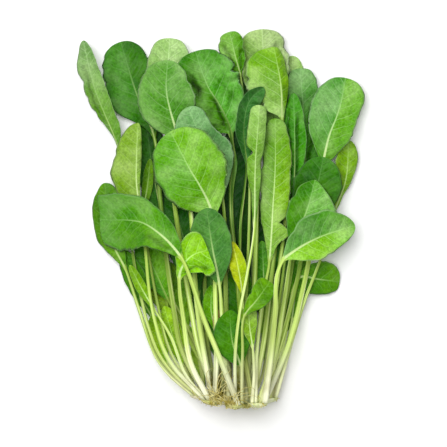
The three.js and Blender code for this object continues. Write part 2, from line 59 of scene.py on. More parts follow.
# ---------------------------------------------------------------------------------------
# Inner and lower leaves
# Full-grown deep green leaves at the bottom and in the middle of the heap. A leaf grows as
# one piece: a thin oval blade on a long fleshy stalk, which runs on up it as its midrib. Each
# lies on the leaves below it, where its solid in the frame lies.
# ---------------------------------------------------------------------------------------
MM = 0.001
SOLID_RING_POINTS = 8
SOLID_STALK_STEPS = 9        # from foot to neck
SOLID_HALF_THICKNESS = 0.42  # mm, beside the midrib


def lattice_of(node):
    """The rings of a leaf's solid from its foot to its tip, each from its left margin over
    the top, and its tip, all in millimetres."""
    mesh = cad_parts[node].data
    raw = np.empty(len(mesh.vertices) * 3)
    mesh.vertices.foreach_get("co", raw)
    raw = raw.reshape(-1, 3) / MM
    _, first, place = np.unique(
        np.round(raw, 3), axis=0, return_index=True, return_inverse=True
    )
    points = raw[first]
    place = place.reshape(-1)
    near = [set() for _ in points]
    for face in mesh.polygons:
        corners = [int(place[i]) for i in face.vertices]
        for a in corners:
            near[a].update(b for b in corners if b != a)
    # the foot and the tip are the two points with a whole ring round them, and each ring of the
    # solid is the level that lies one step further from the foot
    caps = [i for i, around in enumerate(near) if len(around) == SOLID_RING_POINTS]
    foot = min(caps, key=lambda i: points[i][1])
    levels = [{foot}]
    seen = {foot}
    while len(seen) < len(points):
        ahead = set().union(*(near[i] for i in levels[-1])) - seen
        levels.append(ahead)
        seen |= ahead
    # each ring starts at the left margin and goes up over the top
    start = min(levels[1], key=lambda i: points[i][0])
    up = max(near[start] & levels[1], key=lambda i: points[i][2])
    ring = [start, up]
    while len(ring) < SOLID_RING_POINTS:
        ring.append(next(iter((near[ring[-1]] & levels[1]) - set(ring))))
    rings = [ring]
    for level in levels[2:-1]:
        last = rings[-1]
        rings.append([
            next(iter(near[last[k - 1]] & near[last[k]] & level)) for k in range(SOLID_RING_POINTS)
        ])
    tip = next(iter(levels[-1]))
    return points[np.array(rings)], points[tip]


TIP_RADIUS = 0.3             # mm, of the midrib


def spine_of(rings, tip):
    """For each station from foot to tip: the spine's point, the rib's radius, and for each
    side the margin's place from the spine and the height halfway out to it."""
    stations = []
    for i, ring in enumerate(rings):
        left, top_left, top, top_right, right, low_right, bottom, low_left = ring
        if i <= SOLID_STALK_STEPS:
            middle = ring.mean(axis=0)
            radius = np.linalg.norm(right - left) / 2
            halfway = (0.0, 0.0)
        else:
            radius = top[2] - bottom[2] - SOLID_HALF_THICKNESS
            middle = bottom + np.array([0, 0, radius])
            halfway = (
                (top_left[2] + low_left[2]) / 2 - middle[2],
                (top_right[2] + low_right[2]) / 2 - middle[2],
            )
        stations.append([
            *middle, radius, *(left - middle), halfway[0], *(right - middle), halfway[1]
        ])
    stations = np.array(stations)
    tip_row = np.zeros(stations.shape[1])
    tip_row[:3] = tip
    tip_row[3] = TIP_RADIUS
    before = stations[0].copy()
    before[:3] = 2 * stations[0][:3] - stations[1][:3]
    beyond = stations[-1].copy()
    beyond[4:] *= -1
    return np.vstack([before, stations, tip_row, beyond])


def smooth_rows(rows, places):
    """A smooth curve through rows[1:-1], read at places counted from rows[1]."""
    start = np.clip(np.floor(places).astype(int), 0, len(rows) - 4)
    f = (places - start)[:, None]
    a, b, c, d = (rows[start + k] for k in range(4))
    square = 2 * a - 5 * b + 4 * c - d
    cube = 3 * b - a - 3 * c + d
    return 0.5 * (2 * b + (c - a) * f + square * f**2 + cube * f**3)


def ripple(draw, along, aside, length):
    """A gentle lumpy height between -1 and 1 over the blade, with lumps about length wide."""
    total = np.zeros_like(along)
    for _ in range(5):
        turn, phase = draw.uniform(0, 2 * math.pi, 2)
        pace = 2 * math.pi / (length * draw.uniform(0.7, 1.5))
        total += np.sin((along * math.cos(turn) + aside * math.sin(turn)) * pace + phase)
    return total / 3


STALK_RINGS_PER_STEP = 4     # for each step of the solid
BLADE_RINGS_PER_STEP = 9
COLUMNS = 33                 # from the left margin over the top to the right one
STALK_SHARE = 0.9            # a stalk's real thickness as a share of its solid's
THINNEST_RIB = 0.25          # mm, in radius
OPENING = 2.5                # rib radii past the rib, over which a stalk opens into a blade
FOLD_WANDER = (0.1, 22.0)    # share of the half-width, and mm between bends
FOLD_FADE = 0.1              # share of the blade's length at each end of a fold
STALK_GROOVE = 0.2           # its depth as a share of the stalk's radius
MIDRIB_SUNK = 0.8            # share of the midrib's height that the face of the blade takes up
BLADE_HALF_THICKNESS = 0.2   # mm, thinner than the solid, as the real blade is
MARGIN_WANDER = ((0.04, 24.0), (0.025, 8.0), (0.012, 3.5))  # share of the half-width; bump, mm
FINE_LUMPS = (0.24, 5.0)     # mm high and mm wide
VEIN_SPACING = 8.0           # mm along the midrib, on each side
VEIN_SLANT = 0.75            # mm that a side vein runs tipward for each mm outward
VEIN_CURVE = 0.012           # and how much more, the further out it is


def linear(colour):
    """An sRGB hex colour as linear red, green, blue and alpha."""
    parts = [int(colour[i:i + 2], 16) / 255 for i in (1, 3, 5)]
    return (*(c / 12.92 if c <= 0.04045 else ((c + 0.055) / 1.055) ** 2.4 for c in parts), 1.0)


def grow_leaf(node, seed, green, tip_green=None, neck_green=None, stalk_tint=0.5,
              margin_wave=0.9, wave_length=17.0, quilt=0.5, crumple=0.7, crumple_length=16.0,
              lobes=(), creases=(), sweep=(0.0, 0.0)):
    """The fine mesh of one leaf.
    green: its flesh to the left and to the right of the midrib. Where the two differ, that is
    partly the leaf's own colour and partly painted light and shade, for halves that face
    the light differently.
    tip_green, neck_green: its flesh at the tip and at the neck, where that differs.
    stalk_tint: painted light and shade on the stalk: 0 for a deep green stalk, painted in its
    shaded greens as one deep in the heap, 1 for a pale lit one.
    margin_wave, quilt, crumple: heights in mm of the margin's waves, of the pillows between
        the side veins, and of the broad lumps. The two lengths are in mm too.
    lobes: notches in the margin as (side, place along the blade from 0 to 1, width of the same
        kind, depth as a share of the half-width). A depth below 0 stands out as a lobe, and a
        place below 0 is on the stalk.
    creases: folds that run along the blade as (share of the half-width out from the midrib,
    negative to the left, width of the same kind, depth in mm, how far the fold is painted
    darker as painted shade, where along the blade it starts and ends).
    sweep: how far, in mm, the left and the right margin run on past the midrib."""
    draw = np.random.default_rng(seed)

    # along: the solid's few rings give a smooth run of many, from the foot to the tip
    rings, tip = lattice_of(node)
    rows = spine_of(rings, tip)
    steps = len(rings)
    blade_steps = steps - SOLID_STALK_STEPS
    stalk_places = np.arange(0, SOLID_STALK_STEPS, 1 / STALK_RINGS_PER_STEP)
    blade_places = (
        SOLID_STALK_STEPS + np.arange(0, blade_steps * BLADE_RINGS_PER_STEP) / BLADE_RINGS_PER_STEP
    )
    places = np.concatenate([stalk_places, blade_places])
    fine = smooth_rows(rows, np.append(places, steps - 0.001))
    middle, radius = fine[:, :3], np.maximum(STALK_SHARE * fine[:, 3], THINNEST_RIB)
    run = np.concatenate([[0], np.cumsum(np.linalg.norm(np.diff(middle, axis=0), axis=1))])
    neck = run[len(stalk_places)]
    blade_length = run[-1] - neck
    past_neck = (run - neck) / blade_length
    up_blade = np.clip(past_neck, 0, 1)

    # across: the columns lie closest at the midrib, and each side bends as the solid does
    turn = np.linspace(-math.pi / 2, math.pi / 2, COLUMNS)
    outward = (np.abs(turn) / (math.pi / 2)) ** 1.8
    is_left = turn < 0
    aside = np.zeros((len(fine), COLUMNS))
    across = np.zeros((len(fine), COLUMNS, 2))
    height = np.zeros((len(fine), COLUMNS))
    reach = np.zeros((len(fine), COLUMNS))
    for side, columns, offset in ((-1, is_left, 4), (1, ~is_left, 8)):
        flat = fine[:, offset:offset + 2]
        half = np.maximum(np.linalg.norm(flat, axis=1), 1e-6)
        heading = flat / half[:, None]
        outline = half.copy()
        wander = sum(
            share * ripple(draw, run, np.zeros_like(run), bump) for share, bump in MARGIN_WANDER
        )
        outline *= 1 + wander * np.clip(up_blade * 6, 0, 1)
        for lobe_side, place, width, depth in lobes:
            if lobe_side == side:
                outline *= 1 - depth * np.exp(-(((past_neck - place) / width) ** 2))
        rib = np.minimum(radius, np.where(up_blade > 0, outline, radius))
        width_out = np.maximum(outline, rib)
        out = rib[:, None] * np.abs(np.sin(turn[columns]))
        out = out + (width_out - rib)[:, None] * outward[columns]
        share = out / width_out[:, None]
        edge_height = fine[:, offset + 2][:, None]
        half_height = fine[:, offset + 3][:, None]
        bend = 2 * (edge_height - 2 * half_height)
        aside[:, columns] = side * out
        across[:, columns] = heading[:, None, :] * out[:, :, None]
        height[:, columns] = (edge_height - bend) * share + bend * share**2
        reach[:, columns] = share

    # relief: waves in the margin, pillows between the side veins, lumps, and folds
    widest = np.maximum(np.abs(aside[:, :1]), np.abs(aside[:, -1:]))
    opened = np.clip((widest - radius[:, None]) / (OPENING * radius[:, None]), 0, 1)
    along = np.repeat((run - neck)[:, None], COLUMNS, axis=1)
    fade = opened * np.clip((1.02 - up_blade)[:, None] * 6, 0, 1)
    for side, columns in ((-1, is_left), (1, ~is_left)):
        phase = draw.uniform(0, 2 * math.pi)
        pace = 2 * math.pi / wave_length
        beat = 0.6 + 0.4 * np.sin(along[:, columns] * pace * 0.37 + phase)
        wave = np.sin(along[:, columns] * pace + phase) * beat
        height[:, columns] += margin_wave * wave * reach[:, columns] ** 2.4 * fade
    vein_place = along - VEIN_SLANT * np.abs(aside) - VEIN_CURVE * aside**2
    vein_turn = (vein_place / VEIN_SPACING + np.where(aside < 0, 0.5, 0.0)) * 2 * math.pi
    pillow = np.cos(vein_turn) * np.clip(np.abs(aside) / 4, 0, 1) * (1 - reach**3)
    height += quilt * pillow * fade
    for lump, lump_length, clear in ((crumple, crumple_length, 6), (*FINE_LUMPS, 3)):
        off_rib = np.clip(np.abs(aside) / clear, 0, 1)
        height += lump * ripple(draw, along, aside, lump_length) * off_rib * fade
    # painted shade: each fold also darkens the flesh along it, where a crease's shade would fall
    crease_shade = np.ones_like(along)
    wander_share, wander_length = FOLD_WANDER
    for place, width, depth, dark, start, end in creases:
        wander = wander_share * ripple(draw, along, np.zeros_like(along), wander_length)
        fold = np.exp(-(((np.sign(aside) * reach - place - wander) / width) ** 2)) * fade
        within = np.clip((up_blade - start) / FOLD_FADE, 0, 1)
        within = within * np.clip((end - up_blade) / FOLD_FADE, 0, 1)
        fold *= within[:, None]
        height -= depth * fold
        crease_shade *= 1 - dark * fold

    # thickness: a round stalk, grooved along its top, that sinks into the thin blade
    rib = np.sqrt(np.maximum(radius[:, None] ** 2 - aside**2, 0))
    skin = BLADE_HALF_THICKNESS * opened * np.sqrt(np.maximum(1 - reach**6, 0))
    groove = 1 - STALK_GROOVE * np.exp(-((aside / (0.45 * radius[:, None])) ** 2))
    over = ((rib * (1 - MIDRIB_SUNK * opened) * groove) ** 3 + skin**3) ** (1 / 3)
    below = (rib**3 + skin**3) ** (1 / 3)
    height = np.maximum(height, below - middle[:, 2:3])

    # skin: over the top from the left margin to the right one, then back underneath
    forward = np.gradient(middle[:, :2], axis=0)
    forward /= np.maximum(np.linalg.norm(forward, axis=1, keepdims=True), 1e-6)
    ahead = np.where(is_left, *sweep) * (aside / np.abs(aside).max() * up_blade[:, None]) ** 2
    flat = middle[:, None, :2] + across + forward[:, None, :] * ahead[..., None]
    top = np.dstack([flat, middle[:, 2:3] + height + over])
    bottom = np.dstack([flat, middle[:, 2:3] + height - below])[:, -2:0:-1]
    grid = np.concatenate([top, bottom], axis=1)
    under = np.concatenate([np.zeros(COLUMNS), np.ones(COLUMNS - 2)])
    under[0] = under[COLUMNS - 1] = 0.5

    def round_the_leaf(values):
        return np.concatenate([values, values[:, -2:0:-1]], axis=1)

    count, round_count = grid.shape[:2]
    lasts = (count - 1) * round_count
    points = np.vstack([grid[:-1].reshape(-1, 3), middle[0], middle[-1]])
    faces = []
    for i in range(count - 2):
        for k in range(round_count):
            k_next = (k + 1) % round_count
            faces.append((i * round_count + k, (i + 1) * round_count + k,
                          (i + 1) * round_count + k_next, i * round_count + k_next))
    for k in range(round_count):
        k_next = (k + 1) % round_count
        faces.append((lasts, k, k_next))
        faces.append((lasts + 1, lasts - round_count + k_next, lasts - round_count + k))

    mesh = bpy.data.meshes.new(node + "_grown")
    mesh.from_pydata((points * MM).tolist(), [], faces)
    mesh.validate()
    mesh.polygons.foreach_set("use_smooth", [True] * len(mesh.polygons))

    # what the material needs to know at each point, with lengths in mm
    def keep(name, first, second, third, ends):
        values = np.stack([first, second, third], axis=-1)[:-1].reshape(-1, 3)
        attribute = mesh.attributes.new(name, "FLOAT_VECTOR", "POINT")
        attribute.data.foreach_set("vector", np.vstack([values, *ends]).ravel())

    around_along = round_the_leaf(along)
    around_aside = round_the_leaf(aside)
    around_reach = round_the_leaf(reach)
    around_open = round_the_leaf(np.repeat(opened, COLUMNS, axis=1))
    around_foot = round_the_leaf(np.repeat(run[:, None], COLUMNS, axis=1))
    around_rib = np.clip(np.abs(around_aside) / radius[:, None], 0, 8)
    around_under = np.repeat(under[None, :], count, axis=0)
    shift = draw.uniform(-400, 400, 3)
    keep("leaf_place", around_along, around_aside, around_reach,
         [[-neck, 0, 0], [blade_length, 0, 0]])
    keep("leaf_kind", around_open, around_under, around_foot, [[0, 0, 0], [1, 0.5, run[-1]]])
    keep("leaf_grain", around_along + shift[0], around_aside + shift[1],
         around_under * 40 + shift[2], [shift + [-neck, 0, 0], shift + [blade_length, 0, 0]])
    around_place = np.repeat(up_blade[:, None], round_count, axis=1)
    # the stalk's painted light and shade, moved a little at random as its own tone
    stalk_tint = min(max(stalk_tint + draw.uniform(-0.3, 0.3), 0), 1)
    keep("leaf_rib", around_rib, around_place, np.full_like(around_place, stalk_tint),
         [[0, 0, stalk_tint], [0, 1, stalk_tint]])
    # the two greens meet over 3 mm at the midrib; their difference is partly painted light and
    # shade on the two halves
    left_green, right_green = (np.array(linear(colour)[:3]) for colour in green)
    to_right = np.clip(around_aside / 3 + 0.5, 0, 1)[..., None]
    flesh = left_green + (right_green - left_green) * to_right
    if neck_green is not None:
        flesh += (linear(neck_green)[:3] - flesh) * np.clip(1 - around_place / 0.5, 0, 1)[..., None]
    if tip_green is not None:
        flesh += (linear(tip_green)[:3] - flesh) * np.clip(around_place / 0.5 - 1, 0, 1)[..., None]
    # the painted shade of the folds darkens the flesh
    flesh = flesh * round_the_leaf(crease_shade)[..., None]
    keep("leaf_flesh", *np.moveaxis(flesh, 2, 0), [flesh[0, 0], flesh[-1, 0]])
    piece = bpy.data.objects.new(node.replace("leaf_", "grown_leaf_"), mesh)
    bpy.context.scene.collection.objects.link(piece)
    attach(piece, "root")
    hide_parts(node)
    return piece


def add(tree, kind, *values, **settings):
    """Adds a node with its settings, and sets or links its inputs in their order, but for the
    ones given as None. Gives its first output."""
    made = tree.nodes.new(kind)
    for name, value in settings.items():
        setattr(made, name, value)
    for socket, value in zip([socket for socket in made.inputs if socket.enabled], values):
        if isinstance(value, bpy.types.NodeSocket):
            tree.links.new(value, socket)
        elif value is not None:
            socket.default_value = value
    return next(socket for socket in made.outputs if socket.enabled)


# each stalk colour with a shaded copy, painted on stalks that lie deep in the heap as painted shade
STALK_FOOT, STALK_FOOT_SHADED = linear("#f6f8d4"), linear("#d6e08c")
STALK_LOW, STALK_LOW_SHADED = linear("#d4ec80"), linear("#96b43c")
STALK_TOP, STALK_TOP_SHADED = linear("#bee25c"), linear("#4b7c12")
STALK_STAIN = linear("#a9a45c")
STALK_SOIL = linear("#767010")
SOIL_MIDDLE = (0.0014, -0.1187, 0.02)  # m, among the stalks at the middle of the bunch's foot
MIDRIB = linear("#d6eba6")


def leaf_skin(name, roughness, veins_show, bloom=0.0, dry=None):
    """Living leaf: a waxy skin over soft green flesh, which gives a soft broad sheen. The flesh
    is lighter along the veins and paler behind, and the stalk fades to white at its foot."""
    material = bpy.data.materials.new(name)
    material.use_nodes = True
    tree = material.node_tree
    shader = tree.nodes["Principled BSDF"]
    MATH, RANGE, MIX = "ShaderNodeMath", "ShaderNodeMapRange", "ShaderNodeMix"
    NOISE, VECTOR_MATH = "ShaderNodeTexNoise", "ShaderNodeVectorMath"
    SPLIT, SHADE = "ShaderNodeSeparateXYZ", "ShaderNodeHueSaturation"

    flesh, grain, at, kind, at_rib = (
        add(tree, "ShaderNodeAttribute", attribute_name="leaf_" + kept)
        for kept in ("flesh", "grain", "place", "kind", "rib")
    )
    along, aside, reach = add(tree, SPLIT, at).node.outputs
    opened, under, foot = add(tree, SPLIT, kind).node.outputs
    rib, place, tint = add(tree, SPLIT, at_rib).node.outputs

    # flesh: light and shaded patches about 17 mm wide, with mottling 1.6 mm wide on them
    patch = add(tree, NOISE, grain, 1 / 17, 2.0)
    mottle = add(tree, NOISE, grain, 1 / 1.6, 3.0)
    patch_light = add(tree, RANGE, patch, 0.3, 0.7, 0.64, 1.02, interpolation_type="SMOOTHSTEP")
    mottle_light = add(tree, RANGE, mottle, 0.3, 0.7, 0.76, 1.22)
    light = add(tree, MATH, patch_light, mottle_light, operation="MULTIPLY")
    hue = add(tree, RANGE, patch, 0.3, 0.7, 0.512, 0.49)
    fullness = add(tree, RANGE, patch, 0.35, 0.65, 1.3, 1.02)
    body = add(tree, SHADE, hue, fullness, light, 1.0, flesh)

    # side veins run out and tipward from the midrib, 0.55 mm wide at it and thinner further out
    wobble = add(tree, NOISE, grain, 1 / 9, 1.0)
    wobble = add(tree, MATH, wobble, 3.4, -1.7, operation="MULTIPLY_ADD")
    distance = add(tree, MATH, aside, operation="ABSOLUTE")
    start = add(tree, MATH, distance, -VEIN_SLANT, along, operation="MULTIPLY_ADD")
    squared = add(tree, MATH, aside, aside, operation="MULTIPLY")
    start = add(tree, MATH, squared, -VEIN_CURVE, start, operation="MULTIPLY_ADD")
    start = add(tree, MATH, start, wobble, operation="ADD")
    on_left = add(tree, MATH, aside, 0.0, operation="LESS_THAN")
    start = add(tree, MATH, start, 1 / VEIN_SPACING, 40.0, operation="MULTIPLY_ADD")
    start = add(tree, MATH, on_left, 0.5, start, operation="MULTIPLY_ADD")
    turn = add(tree, MATH, start, operation="FRACT")
    off_vein = add(tree, MATH, turn, 0.5, operation="SUBTRACT")
    off_vein = add(tree, MATH, off_vein, operation="ABSOLUTE")
    off_vein = add(tree, MATH, off_vein, VEIN_SPACING, operation="MULTIPLY")
    width = add(tree, RANGE, reach, 0.0, 0.95, 0.55, 0.28)
    side_vein = add(tree, MATH, off_vein, width, operation="DIVIDE")
    side_vein = add(tree, RANGE, side_vein, 0.2, 1.2, 1.0, 0.0, interpolation_type="SMOOTHSTEP")
    vein_fade = add(tree, RANGE, reach, 0.7, 1.0, 1.0, 0.1)
    side_vein = add(tree, MATH, side_vein, vein_fade, operation="MULTIPLY")

    # the finest veins close a net of meshes 2.4 mm wide, about twice the real ones so that
    # they show
    net = add(tree, "ShaderNodeTexVoronoi", grain, 1 / 2.4, feature="DISTANCE_TO_EDGE")
    net_vein = add(tree, RANGE, net, 0.02, 0.14, 0.3, 0.0)
    veins = add(tree, MATH, side_vein, net_vein, operation="MAXIMUM")
    vein_show = add(tree, MATH, veins, veins_show, operation="MULTIPLY")
    vein_green = add(tree, SHADE, 0.494, 0.88, 1.5, 1.0, flesh)
    face = add(tree, MIX, vein_show, body, vein_green, data_type="RGBA")

    # a painted highlight pales the face a little towards the margin, and the back is paler and
    # greyer than the face
    edge = add(tree, RANGE, reach, 0.92, 1.0, 0.0, 0.34, interpolation_type="SMOOTHSTEP")
    face = add(tree, MIX, edge, face, vein_green, data_type="RGBA")
    back = add(tree, SHADE, 0.5, 0.72, 1.4, 1.0, face)
    blade = add(tree, MIX, under, face, back, data_type="RGBA")
    if bloom:
        blade = add(tree, SHADE, 0.508, 1 - bloom, 1 + 0.6 * bloom, 1.0, blade)
    if dry is not None:
        spot = add(tree, RANGE, add(tree, NOISE, grain, 1 / 7, 4.0), 0.5, 0.62)
        blade = add(tree, MIX, spot, blade, linear(dry), data_type="RGBA")

    # stalk: white at the foot, then yellow-green, then green, with lengthwise ribs about 1.3 mm
    # wide, coarser than the real ones so that they show. Each colour comes in a lit and a shaded
    # copy: a stalk that lies deep in the heap is painted in the shaded one, as painted shade.
    stretched = add(tree, VECTOR_MATH, grain, (0.02, 1.0, 1.0), operation="MULTIPLY")
    fibre = add(tree, NOISE, stretched, 1 / 1.3, 2.0)
    white = add(tree, MIX, tint, STALK_FOOT_SHADED, STALK_FOOT, data_type="RGBA")
    lower = add(tree, MIX, tint, STALK_LOW_SHADED, STALK_LOW, data_type="RGBA")
    upper = add(tree, MIX, tint, STALK_TOP_SHADED, STALK_TOP, data_type="RGBA")
    low = add(tree, RANGE, foot, 8.0, 50.0, interpolation_type="SMOOTHSTEP")
    high = add(tree, RANGE, foot, 40.0, 125.0)
    stalk = add(tree, MIX, low, white, lower, data_type="RGBA")
    stalk = add(tree, MIX, high, stalk, upper, data_type="RGBA")
    stained = add(tree, RANGE, add(tree, NOISE, grain, 1 / 24, 2.0), 0.5, 0.6, 0.0, 0.55)
    near_foot = add(tree, RANGE, foot, 4.0, 32.0, 1.0, 0.0)
    stained = add(tree, MATH, stained, near_foot, operation="MULTIPLY")
    stalk = add(tree, MIX, stained, stalk, STALK_STAIN, data_type="RGBA")

    # soil: it is caught deep between the stalks at the foot of the bunch, in blots 3 mm wide
    spot = add(tree, "ShaderNodeTexCoord").node.outputs["Object"]
    away = add(tree, VECTOR_MATH, spot, SOIL_MIDDLE, operation="DISTANCE").node.outputs["Value"]
    soil = add(tree, RANGE, away, 0.010, 0.021, 1.0, 0.0, interpolation_type="SMOOTHSTEP")
    deep = add(tree, RANGE, add(tree, SPLIT, spot).node.outputs["Z"], 0.025, 0.032, 1.0, 0.0)
    soil = add(tree, MATH, soil, deep, operation="MULTIPLY")
    blots = add(tree, RANGE, add(tree, NOISE, spot, 1 / 0.003, 2.0), 0.35, 0.55, 0.6, 1.0)
    soil = add(tree, MATH, soil, blots, operation="MULTIPLY")
    stalk = add(tree, MIX, soil, stalk, STALK_SOIL, data_type="RGBA")
    # the streaks along the ribs are partly the stalk's own ribs and partly painted highlights, and
    # the palest go towards the foot's white
    fibre_and_highlight = add(tree, RANGE, fibre, 0.3, 0.7, 0.64, 1.17)
    stalk = add(tree, SHADE, 0.5, 1.0, fibre_and_highlight, 1.0, stalk)
    pale_rib_and_highlight = add(tree, RANGE, fibre, 0.52, 0.68, 0.0, 0.6)
    stalk = add(tree, MIX, pale_rib_and_highlight, stalk, white, data_type="RGBA")

    # midrib: paler than the stalk at the neck, the more so where the stalk is painted lit, and it
    # fades into the flesh towards the tip
    rib_pale = add(tree, MIX, tint, stalk, MIDRIB, data_type="RGBA")
    up_blade = add(tree, RANGE, place, 0.0, 0.8)
    rib_green = add(tree, MIX, up_blade, rib_pale, vein_green, data_type="RGBA")
    rib_share = add(tree, RANGE, rib, 0.5, 1.05, 1.0, 0.0, interpolation_type="SMOOTHSTEP")
    rib_fade = add(tree, RANGE, place, 0.3, 1.0, 0.95, 0.2)
    rib_share = add(tree, MATH, rib_share, rib_fade, operation="MULTIPLY")
    blade = add(tree, MIX, rib_share, blade, rib_green, data_type="RGBA")
    opening = add(tree, RANGE, opened, 0.05, 0.75, interpolation_type="SMOOTHSTEP")
    colour = add(tree, MIX, opening, stalk, blade, data_type="RGBA")

    # relief: the veins are sunk in the face and raised on the back, over bumps 0.9 mm wide,
    # far coarser than the skin's real cells so that they show, and the stalk has its ribs
    side = add(tree, MATH, under, 2.0, -1.0, operation="MULTIPLY_ADD")
    press = add(tree, MATH, veins, side, operation="MULTIPLY")
    press = add(tree, MATH, press, opened, operation="MULTIPLY")
    bumps = add(tree, NOISE, grain, 1 / 0.9, 2.0)
    relief = add(tree, MATH, bumps, 0.6, press, operation="MULTIPLY_ADD")
    bare = add(tree, MATH, 1.0, opened, operation="SUBTRACT")
    fibre_rise = add(tree, MATH, fibre, bare, operation="MULTIPLY")
    relief = add(tree, MATH, fibre_rise, 1.4, relief, operation="MULTIPLY_ADD")
    bump = add(tree, "ShaderNodeBump", 1.0, 0.0002, 0.1, relief)

    # sheen: rougher and smoother patches 6 mm wide, and a rougher back
    worn = add(tree, NOISE, grain, 1 / 6)
    sheen = add(tree, RANGE, worn, 0.3, 0.7, roughness - 0.05, roughness + 0.08)
    sheen = add(tree, MATH, under, 0.14, sheen, operation="MULTIPLY_ADD")
    tree.links.new(colour, shader.inputs["Base Color"])
    tree.links.new(sheen, shader.inputs["Roughness"])
    tree.links.new(bump, shader.inputs["Normal"])
    shader.inputs["IOR"].default_value = 1.45
    shader.inputs["Specular IOR Level"].default_value = 0.13
    return material


def lay(material, slot, seed, leaves, **shape):
    """Grows each leaf in one material. leaves maps a leaf to its own greens and shape."""
    for number, (name, own) in enumerate(leaves.items()):
        piece = grow_leaf("leaf_" + name, seed + number, **{**shape, **own})
        piece.data.materials.append(material)


lay(leaf_skin("deep_green_leaf", 0.45, 0.44), "leaf_deep_green", 100, {
    "under_middle": {"green": ("#3d7a1c", "#447f20"), "quilt": 0.1, "crumple": 0.1,
                     "margin_wave": 0.2},
    "under_right": {"green": ("#4a8422", "#3f7a1c")},
    "under_left": {"green": ("#86ac34", "#65981e"),
                   "lobes": ((-1, -0.6, 0.25, -3.5), (1, -0.05, 0.1, -2.0))},
    # the inner leaves' near-black greens are partly painted shade, for the hollows they fill under
    # the leaves above
    "inner_top": {"green": ("#265e12", "#245a12")},
    "inner_left": {"green": ("#2f6816", "#1c4c0c")},
    "inner_upper_left": {},
    "inner_middle": {"green": ("#143c0a", "#1a480e")},
    "inner_low_left": {"green": ("#356f1e", "#245a12")},
    "inner_low_middle": {"green": ("#143c0a", "#1a480e")},
    "inner_low_right": {"green": ("#3a7318", "#447c1c"), "stalk_tint": 0.5},
    "low_right_inner": {"green": ("#4f8a1e", "#5a9424"), "stalk_tint": 0.9},
    "low_middle_inner": {"green": ("#3a7318", "#447c1c")},
    "low_right_round": {"green": ("#5f9a2a", "#549122"), "stalk_tint": 0.8,
                        "lobes": ((1, 0.55, 0.3, 0.3), (1, 0.85, 0.15, 0.25),
                                  (-1, 0.1, 0.12, -0.4))},
    "right_inner_tall": {"green": ("#44832a", "#549238"), "tip_green": "#7caa68",
                         "neck_green": "#2e6216", "crumple": 1.1, "margin_wave": 1.6,
                         "creases": ((0.4, 0.1, 1.6, 0.55, 0.1, 0.75),
                                     (-0.35, 0.1, 1.4, 0.55, 0.2, 0.8),
                                     (0.0, 1.2, 0.0, 0.45, 0.66, 0.84)),
                         "lobes": ((1, 0.76, 0.05, 0.22), (1, 0.35, 0.04, 0.1))},
    "right_inner_narrow": {"green": ("#549338", "#5c9c42"), "crumple": 1.2, "margin_wave": 1.8,
                           "wave_length": 13.0,
                           "creases": ((0.3, 0.12, 1.8, 0.6, 0.1, 0.85),
                                       (-0.5, 0.1, 1.2, 0.5, 0.2, 0.9))},
    "far_left_low": {"green": ("#5c9226", "#528a20")},
    "left_inner": {"green": ("#4c8c1c", "#5c9a24")},
    "right_round_dark": {"green": ("#2a5a14", "#3e7616"), "tip_green": "#4b8434"},
}, green=("#225510", "#285e12"), margin_wave=0.8, stalk_tint=0.2)

